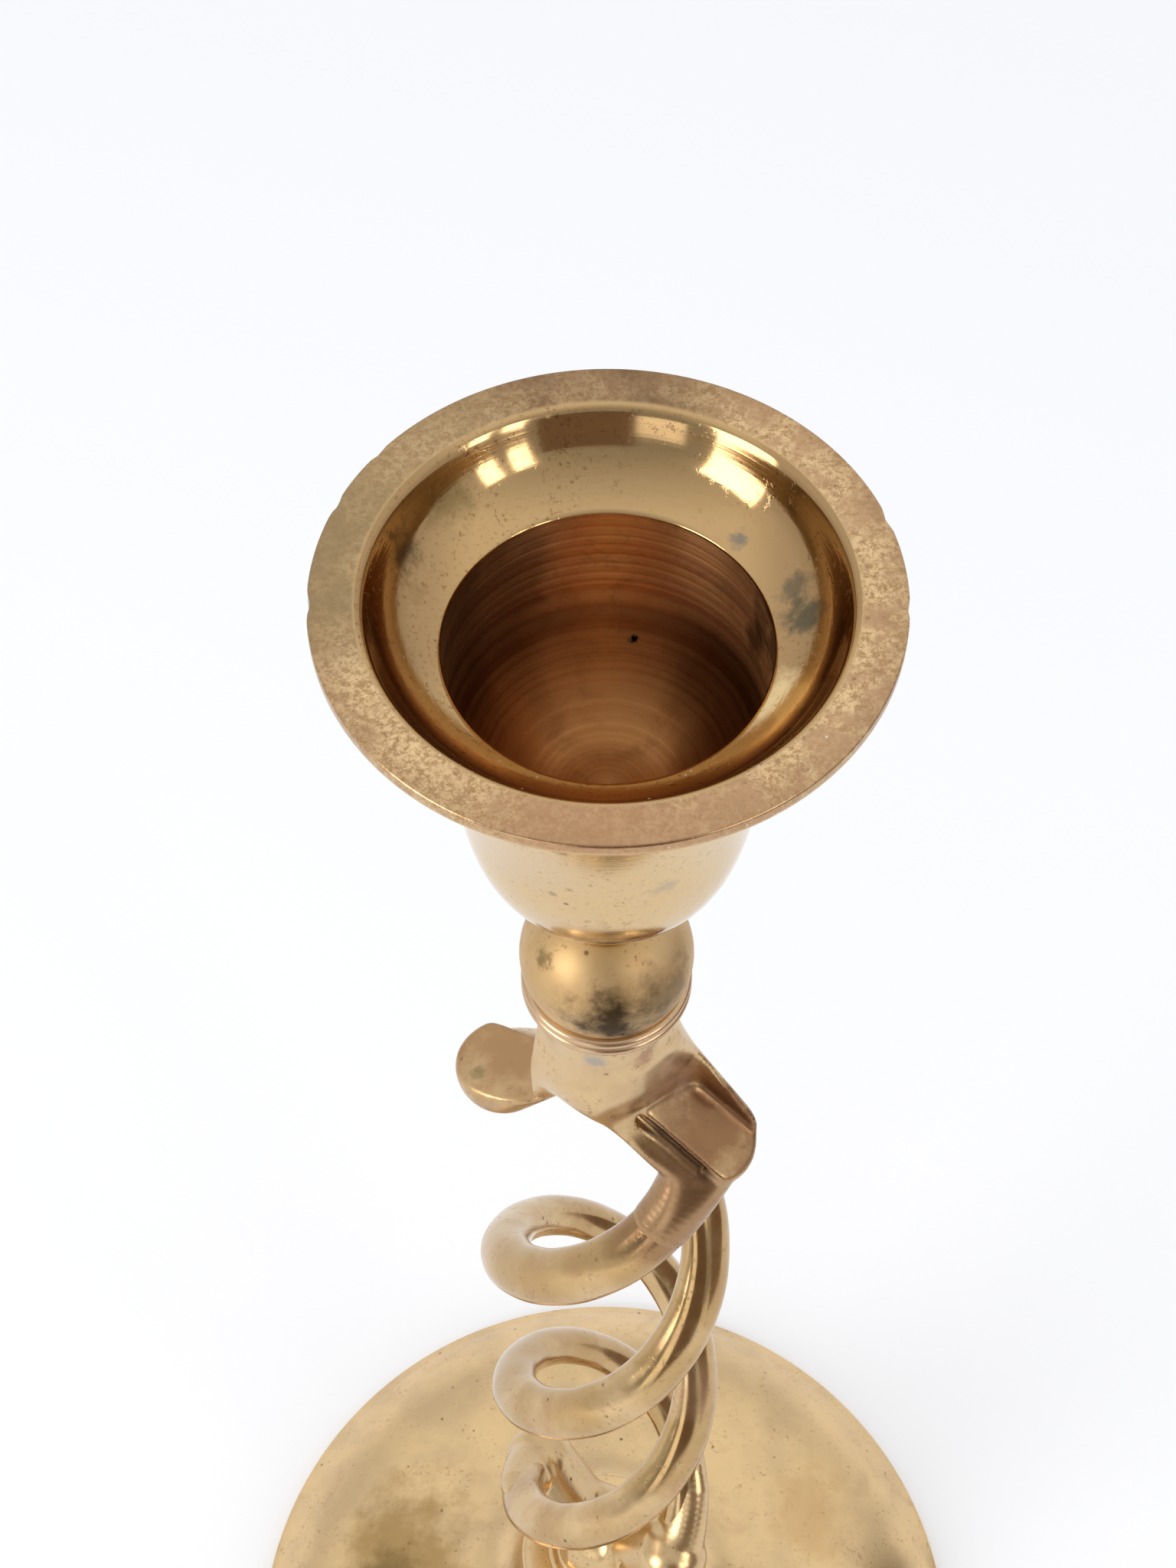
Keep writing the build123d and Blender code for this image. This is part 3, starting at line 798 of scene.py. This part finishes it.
def hub_distance(points, sizes, neck, drop):
    """Distance in metres to a hub that hangs below its seat at height nought, with arms along X."""
    p = points / MM
    neck, drop, saddle = neck / MM, drop / MM, sizes.saddle / MM
    out = np.hypot(p[:, 0], p[:, 1])
    shaft = np.hypot(out, p[:, 2] - np.clip(p[:, 2], -neck, -1.0)) - sizes.neck_radius / MM
    shaft = np.maximum(shaft, p[:, 2] + 1.0)
    root = np.array([sizes.root_offset / MM, 0, -neck])
    tip = np.array([sizes.twist_radius / MM, 0, -neck - drop])
    up = np.array([0, 0, 1])
    outward = np.array([math.cos(FLAT_TURN), math.sin(FLAT_TURN), 0])
    wall_way = np.array([math.cos(WALL_TURN), math.sin(WALL_TURN), 0])
    swell_root = np.array(SWELL_ROOT) - neck * up
    swell_tip = np.array(SWELL_TIP) + tip
    arms = None
    for sign, tilt, lift, ridge, wall in ARM_FLATS:
        along = outward * math.cos(tilt) - up * math.sin(tilt)
        normal = outward * math.sin(tilt) + up * math.cos(tilt)
        side = np.cross(normal, along)
        rolled = normal * math.cos(BEVEL_ROLL) - side * math.sin(BEVEL_ROLL)
        q = p * np.array([sign, sign, 1])
        r = q - tip - lift * up
        from_wall = q @ wall_way

        # The arm, with room cut away above its flat and beside it
        above = carved(carved(-(r @ normal), from_wall - wall, 0.8), ridge - r @ side, 0.8)
        beside = carved(4.2 - from_wall, -2.9 - r @ side, 0.6)
        arm = bar(q, root, tip, sizes.lobe_radius / MM)
        arm = carved(carved(arm, above, 0.7), beside, 0.4)

        # The swelling below the flat, bevelled and run out into the rod
        swell = bar(q, swell_root, swell_tip, SWELL_RADIUS)
        taper = np.minimum(swell, rod_taper(q, tip, sizes))
        bevel = carved(1.0 - r @ rolled, from_wall - 4.2, 3.0)
        swell = carved(carved(joined(swell, taper, 0.8), above, 0.5), bevel, 0.8)
        arm = joined(arm, swell, 0.3)

        ends = np.maximum(3.8 - from_wall, r @ along - 1.8)
        crevice = np.hypot(r @ side + CREVICE_SIDE, r @ normal + CREVICE_DEPTH) - CREVICE_RADIUS
        arm = carved(arm, np.maximum(crevice, ends), 0.35)
        arms = arm if arms is None else joined(arms, arm, saddle)
    return joined(shaft, arms, saddle) * MM


class CANDLE_OT_hubs(bpy.types.Operator):
    """Cast the two hubs whose arms hold the rods"""

    bl_idname = "candle.hubs"
    bl_label = "Hubs"

    def bead(self, sizes):
        """Outline of the fine double bead between a hub and what it seats on."""
        half, round_radius = math.pi / 2, 0.5 * MM
        out = sizes.bead_radius - round_radius
        line = [(0.0, -2.7 * MM), (sizes.neck_radius - 0.4 * MM, -2.7 * MM)]
        line += arc_to((sizes.neck_radius, -2.5 * MM), (0.1, 1), (out - 0.3 * MM, -2 * MM), 8)
        for height in (-1.5 * MM, -0.5 * MM):
            line += circle_part((out, height), round_radius, -half, half, 13)
        return line + [(0.0, 0.0)]

    def execute(self, context):
        scene = context.scene
        sizes, colours = scene.candle_stem_sizes, scene.candle_brass

        def marks(shader, tint, dull):
            z = shader.split()["Z"]
            bead = shader.ramp(z, HUB_SEAT_Z - 2.6 * MM, HUB_SEAT_Z - 2.0 * MM, 0.0, 0.55)
            tint = shader.mix(bead, tint, (0.52, 0.34, 0.23))
            tint, dull = stain_and_paint_light(shader, tint, dull, HUB_STAINS_AND_PAINTED_LIGHT)
            # Painted shade along the right arm's crevice
            start, end = np.array([4.2, -4.5, 153.0]), np.array([8.2, -6.8, 149.8])
            for share in np.linspace(0, 1, 9):
                mark = shader.near(start + (end - start) * share, 0.75, 0.5)
                tint = shader.mix(shader.times(mark, 0.7), tint, (0.05, 0.026, 0.012))
            return tint, dull

        bright = (0.64, 0.45, 0.23)
        brass = aged_brass("hub_aged_brass", colours, bright, 0.5, 0.26, turned=False, extra=marks)
        turned = -2 * math.pi * sizes.twist_length / sizes.twist_pitch
        top = Matrix.Translation((0, 0, HUB_SEAT_Z)) @ Matrix.Rotation(sizes.top_angle, 4, "Z")
        bottom = (
            Matrix.Translation((0, 0, FOOT_TOP_Z))
            @ Matrix.Rotation(sizes.top_angle + turned, 4, "Z")
            @ Matrix.Rotation(math.pi, 4, "X")
        )
        reach = sizes.twist_radius + sizes.lobe_radius + 1 * MM
        half = 10 * MM
        for node, neck, drop, place in (
            ("top_hub", sizes.top_neck, sizes.top_drop, top),
            ("bottom_hub", sizes.bottom_neck, sizes.bottom_drop, bottom),
        ):
            low = (-reach, -half, -neck - drop - 11 * MM)
            high = (reach, half, 1 * MM)
            casting = skin(lambda p: hub_distance(p, sizes, neck, drop), low, high, sizes.skin_pitch)
            matrix = np.array(place)
            for kind, (vertices, faces) in (
                ("_casting", casting),
                ("_bead", lathe(self.bead(sizes), 160)),
            ):
                vertices = vertices @ matrix[:3, :3].T + matrix[:3, 3]
                add_piece(node + kind, vertices, faces, "stem", node, "hub_brass", brass)
        return {"FINISHED"}


class CANDLE_OT_rods(bpy.types.Operator):
    """Wind the two rods of the spiral"""

    bl_idname = "candle.rods"
    bl_label = "Spiral Rods"

    def execute(self, context):
        scene = context.scene
        sizes, colours = scene.candle_stem_sizes, scene.candle_brass
        bright = (0.48, 0.315, 0.138)
        brass = aged_brass("rod_aged_brass", colours, bright, 0.6, 0.15, turned=False, stains_and_painted_light=ROD_STAINS)
        top = HUB_SEAT_Z - sizes.top_neck - sizes.top_drop
        low = top - sizes.twist_length
        around = np.linspace(0, 2 * math.pi, 44, endpoint=False)
        turn = 2 * math.pi / sizes.twist_pitch
        for name, node, start in (("rod_a", "strand_a", 0.0), ("rod_b", "strand_b", math.pi)):
            rings = []
            for height in np.linspace(low + sizes.rod_inset, top - sizes.rod_inset, 420):
                angle = sizes.top_angle + start + turn * (height - top)
                centre = np.array([math.cos(angle), math.sin(angle), 0]) * sizes.twist_radius
                centre[2] = height
                thin, wide, _ = rod_section(angle, sizes)
                # Hand work leaves the rod a little uneven
                swell = 1 - 0.012 * (1 + math.sin(900 * height + start) * math.sin(410 * height))
                thin = thin * sizes.rod_thin * swell
                wide = wide * sizes.rod_wide * swell
                rings.append([centre + math.cos(a) * thin + math.sin(a) * wide for a in around])
            add_piece(name, *tube(rings), "stem", node, "strand_brass", brass)
        return {"FINISHED"}


class CANDLE_OT_foot(bpy.types.Operator):
    """Turn the hollow bell foot"""

    bl_idname = "candle.foot"
    bl_label = "Bell Foot"

    def outline(self, sizes):
        """The foot's closed outline: edge, dome, neck, bead, crown and hollow."""
        start = np.array([FOOT_RADIUS - sizes.ledge_width, sizes.edge_height + sizes.ledge_height])
        outward = heading(40)
        neck_top = FOOT_TOP_Z - sizes.bead_height
        curve, wall = sizes.neck_curve, sizes.wall
        neck_middle = np.array([sizes.neck_radius + curve, neck_top])
        reach = start - neck_middle
        dome = (reach.dot(reach) - curve**2) / (2 * (curve + reach.dot(outward)))
        dome_middle = start - outward * dome
        across = (neck_middle - dome_middle) / np.linalg.norm(neck_middle - dome_middle)

        def bell(first, offset, last, steps):
            meeting = dome_middle + across * (dome - offset)
            leave = first - dome_middle
            carry = meeting - dome_middle
            low = arc_to(first, (-leave[1], leave[0]), meeting, steps)
            return low + arc_to(meeting, (-carry[1], carry[0]), last, steps)[1:]

        ceiling = FOOT_TOP_Z - sizes.crown
        inner_reach = math.sqrt((dome - wall) ** 2 - dome_middle[1] ** 2)
        inner_edge = np.array([dome_middle[0] + inner_reach, 0.0])
        drop = ceiling - neck_middle[1]
        inner_top = np.array([neck_middle[0] - math.sqrt((curve + wall) ** 2 - drop**2), ceiling])
        outer = bell(start, 0.0, np.array([sizes.neck_radius, neck_top]), 40)
        hollow = bell(inner_edge, wall, inner_top, 30)
        bulge, half = sizes.bead_bulge, sizes.bead_height / 2
        round_radius = (bulge**2 + half**2) / (2 * bulge)
        spread = math.asin(half / round_radius)
        bead_middle = (sizes.neck_radius + bulge - round_radius, FOOT_TOP_Z - half)
        bead = circle_part(bead_middle, round_radius, -spread, spread, 14)
        band = [(FOOT_RADIUS, 0.0), (FOOT_RADIUS, sizes.edge_height)]
        edge = eased([hollow[1], inner_edge, *band, start, outer[1]], 0.35 * MM, 5)
        bolt_hole = [(BOLT_HOLE_RADIUS, FOOT_TOP_Z), (BOLT_HOLE_RADIUS, ceiling)]
        crown = eased([bead[-1], *bolt_hole, inner_top], 0.1 * MM, 2)
        return edge[1:-1] + outer[1:-1] + bead + crown[1:] + hollow[::-1][1:-1]

    def execute(self, context):
        scene = context.scene
        sizes, colours = scene.candle_foot_sizes, scene.candle_brass
        vertices, faces = lathe(self.outline(sizes), sizes.segments)
        bright = (0.76, 0.54, 0.28)
        brass = aged_brass("foot_aged_brass", colours, bright, 0.3, 0.22, stains_and_painted_light=FOOT_PAINTED_REFLECTIONS)
        add_piece("bell_foot_shell", vertices, faces, "stem", "bell_foot", "foot_brass", brass)
        return {"FINISHED"}


# The stud's thread, and the bolt's head, shank and slot
THREAD_PITCH, THREAD_DEPTH = 1.06 * MM, 0.62 * MM
HEAD_HEIGHT, HEAD_ROUND, SHANK_RADIUS = 3.6 * MM, 0.8 * MM, 3.1 * MM
SLOT_HALF, SLOT_DEPTH = 0.65 * MM, 1.5 * MM


class CANDLE_OT_fixings(bpy.types.Operator):
    """Make the threaded stud, the slotted bolt and its washer"""

    bl_idname = "candle.fixings"
    bl_label = "Stud, Bolt and Washer"

    def stud(self):
        """Rings of points along the threaded stud."""
        low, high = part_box("cup_stud")
        around = np.linspace(0, 2 * math.pi, 56, endpoint=False)
        rings = []
        for height in np.linspace(low.z, high.z, 300):
            turn = (height / THREAD_PITCH - around / (2 * math.pi)) % 1.0
            tooth = np.abs(2 * turn - 1)
            end = min(height - low.z, high.z - height)
            radius = np.minimum(high.x - THREAD_DEPTH * tooth, high.x - 0.7 * MM + end)
            rings.append([(r * math.cos(a), r * math.sin(a), height) for r, a in zip(radius, around)])
        return rings

    def bolt(self):
        """Mesh of the bolt with its rounded, slotted head below."""
        low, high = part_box("foot_bolt")
        head = high.x

        def distance(p):
            out = np.hypot(p[:, 0], p[:, 1])
            up = p[:, 2] - low.z
            a = out - (head - HEAD_ROUND)
            b = np.maximum(HEAD_ROUND - up, up - HEAD_HEIGHT)
            corner = np.hypot(np.maximum(a, 0), np.maximum(b, 0)) - HEAD_ROUND
            round_end = np.minimum(np.maximum(a, b), 0) + corner
            cap = np.where(up < HEAD_ROUND, round_end, np.maximum(out - head, up - HEAD_HEIGHT))
            ends = np.maximum(-up, up - (high.z - low.z))
            shank = np.maximum(out - SHANK_RADIUS, ends)
            slot = np.maximum(np.abs(p[:, 1]) - SLOT_HALF, up - SLOT_DEPTH)
            return carved(joined(cap, shank, 0.2 * MM), slot, 0.15 * MM)

        half, margin = 5.2 * MM, 0.5 * MM
        box = (-half, -half, low.z - margin), (half, half, high.z + margin)
        return skin(distance, *box, 0.16 * MM)

    def execute(self, context):
        colours = context.scene.candle_brass
        steel = dull_steel("fixing_dull_steel", colours)
        brass = aged_brass("washer_aged_brass", colours, (0.66, 0.49, 0.25), 0.6, 0.36)
        add_piece("cup_stud_thread", *tube(self.stud()), "stem", "cup_stud", "bolt_steel", steel)
        low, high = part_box("foot_washer")
        inner = BOLT_HOLE_RADIUS
        outline = [(inner, high.z), (inner, low.z), (high.x, low.z), (high.x, high.z), (inner, high.z)]
        washer = lathe(eased(outline, 0.2 * MM, 3)[:-1], 96)
        add_piece("foot_washer_ring", *washer, "stem", "foot_washer", "washer_brass", brass)
        add_piece("foot_bolt_slotted", *self.bolt(), "stem", "foot_bolt", "bolt_steel", steel)
        return {"FINISHED"}


# Camera, in millimetres from the middle of the rim
CAMERA_PLACE = (-1.37, -109.5, 140.8)
# Windows: name, place, aim and size in metres, power in watts and colour
WINDOWS = (
    ("stage_window_left", (-0.63, -0.40, 0.42), (0, 0, 0.2), (0.36, 0.40), 2.0, (1, 0.99, 0.97)),
    ("stage_window_right_a", (0.43, -0.56, 0.44), (0, 0, 0.2), (0.11, 0.30), 0.42, (1, 0.98, 0.95)),
    ("stage_window_right_b", (0.58, -0.45, 0.44), (0, 0, 0.2), (0.11, 0.30), 0.42, (1, 0.98, 0.95)),
    ("stage_window_front", (-0.22, -0.6, 0.2), (0, 0, 0.12), (0.26, 0.24), 0.24, (1, 0.99, 0.97)),
)
# Flags: name, both ends on the floor, lower and upper edge, in metres
FLAGS = (
    ("stage_flag_front", (-0.06, -0.28), (0.15, -0.28), (0.07, 0.33)),
    ("stage_flag_right", (0.32, -0.35), (0.32, 0.15), (0.001, 0.16)),
)
# Brightness of the room by the height of the view, from level to straight up
SKY_STEPS = ((0.0, 0.8), (0.2, 0.8), (0.4, 0.95), (1.0, 1.0))
# The room behind the camera is dimmer: direction and strength at both ends
DIM_SIDE = (-0.85, -0.15, 0.48, 1.0)


class CANDLE_OT_stage(bpy.types.Operator):
    """Set the pale floor, the soft light and the camera"""

    bl_idname = "candle.stage"
    bl_label = "Stage"

    def lamp(self, name, place, aim, size, power, tint):
        data = bpy.data.lights.new(name, "AREA")
        data.shape = "RECTANGLE"
        data.size, data.size_y = size
        data.energy = power
        data.color = tint
        lamp = bpy.data.objects.new(name, data)
        lamp.location = place
        lamp.rotation_euler = (Vector(aim) - Vector(place)).to_track_quat("-Z", "Y").to_euler()
        bpy.context.scene.collection.objects.link(lamp)

    def sheet(self, name, corners, tint):
        """A flat matt sheet that belongs to the stage."""
        mesh = bpy.data.meshes.new(name)
        mesh.from_pydata(corners, [], [(0, 1, 2, 3)])
        shader = Shader(bpy.data.materials.new(name))
        shader.feed(shader.surface, {"Base Color": (*tint, 1), "Roughness": 0.9})
        mesh.materials.append(shader.owner)
        sheet = bpy.data.objects.new(name, mesh)
        bpy.context.scene.collection.objects.link(sheet)
        return sheet, shader

    def flag(self, name, start, end, up, tint):
        """An upright dark card that only shows in the polish."""
        low, high = up
        corners = [(*start, low), (*end, low), (*end, high), (*start, high)]
        card, _ = self.sheet(name, corners, tint)
        card.visible_camera = False
        card.visible_diffuse = False
        card.visible_shadow = False

    def floor(self, stage):
        """A pale floor that keeps its shadow and shows a little whiter in the picture."""
        corners = [(-3, -3, 0), (3, -3, 0), (3, 3, 0), (-3, 3, 0)]
        _, shader = self.sheet("stage_floor", corners, stage.floor)
        path = shader.add("ShaderNodeLightPath").outputs
        seen = shader.maths("MAXIMUM", path["Is Camera Ray"], path["Is Glossy Ray"])
        light = {"Emission Color": (1, 1, 1, 1), "Emission Strength": shader.times(seen, stage.glow)}
        shader.feed(shader.surface, {"Specular IOR Level": 0.0, **light})

    def room(self, scene):
        """A bright plain room, a little dimmer behind the camera."""
        scene.world = bpy.data.worlds.new("stage_room")
        shader = Shader(scene.world, "Background", "Generated")
        _, y, z = shader.split()
        fade = shader.add("ShaderNodeValToRGB", {"Fac": z})
        for position, _ in SKY_STEPS[1:-1]:
            fade.color_ramp.elements.new(position)
        for element, (position, level) in zip(fade.color_ramp.elements, SKY_STEPS):
            element.position = position
            element.color = (level, level, level, 1)
        strength = shader.ramp(y, *DIM_SIDE, "LINEAR")
        shader.feed(shader.surface, {"Color": fade.outputs["Color"], "Strength": strength})

    def execute(self, context):
        scene = context.scene
        stage = scene.candle_stage
        self.floor(stage)
        self.room(scene)
        for window in WINDOWS:
            self.lamp(*window)
        for flag in FLAGS:
            self.flag(*flag, stage.flag)
        data = bpy.data.cameras.new("stage_camera")
        data.lens = stage.lens
        data.sensor_width = 36.0
        data.clip_start, data.clip_end = 0.01, 20
        camera = bpy.data.objects.new("stage_camera", data)
        scene.collection.objects.link(camera)
        x, y, z = CAMERA_PLACE
        camera.matrix_world = (
            Matrix.Translation((x * MM, y * MM, RIM_Z + z * MM))
            @ Matrix.Rotation(math.pi / 2 - stage.pitch, 4, "X")
            @ Matrix.Rotation(stage.roll, 4, "Z")
        )
        scene.camera = camera
        scene.view_settings.view_transform = "Standard"
        return {"FINISHED"}


# The add-on


class CANDLE_PT_panel(bpy.types.Panel):
    """Buttons for the pieces of the candle holder"""

    bl_idname = "CANDLE_PT_panel"
    bl_label = "Candle Holder"
    bl_space_type = "VIEW_3D"
    bl_region_type = "UI"
    bl_category = "Candle Holder"

    def draw(self, context):
        for group_name in GROUPS:
            group = getattr(context.scene, group_name)
            box = self.layout.box()
            for name in group.bl_rna.properties.keys():
                if name not in ("rna_type", "name"):
                    box.prop(group, name)
        for operator in OPERATORS:
            self.layout.operator(operator.bl_idname)


GROUPS = {
    "candle_cup_sizes": CandleCupSizes,
    "candle_stem_sizes": StemSizes,
    "candle_foot_sizes": BellFootSizes,
    "candle_brass": BrassColours,
    "candle_stage": StageSettings,
}
OPERATORS = (
    CANDLE_OT_cup,
    CANDLE_OT_knop,
    CANDLE_OT_hubs,
    CANDLE_OT_rods,
    CANDLE_OT_foot,
    CANDLE_OT_fixings,
    CANDLE_OT_stage,
)


CLASSES = (*GROUPS.values(), *OPERATORS, CANDLE_PT_panel)


def register():
    for item in CLASSES:
        bpy.utils.register_class(item)
    for name, group in GROUPS.items():
        setattr(bpy.types.Scene, name, PointerProperty(type=group))


def unregister():
    for name in GROUPS:
        delattr(bpy.types.Scene, name)
    for item in reversed(CLASSES):
        bpy.utils.unregister_class(item)


def main():
    register()
    bpy.ops.candle.cup()
    bpy.ops.candle.knop()
    bpy.ops.candle.hubs()
    bpy.ops.candle.rods()
    bpy.ops.candle.foot()
    bpy.ops.candle.fixings()
    bpy.ops.candle.stage()


if __name__ == "__main__":
    main()
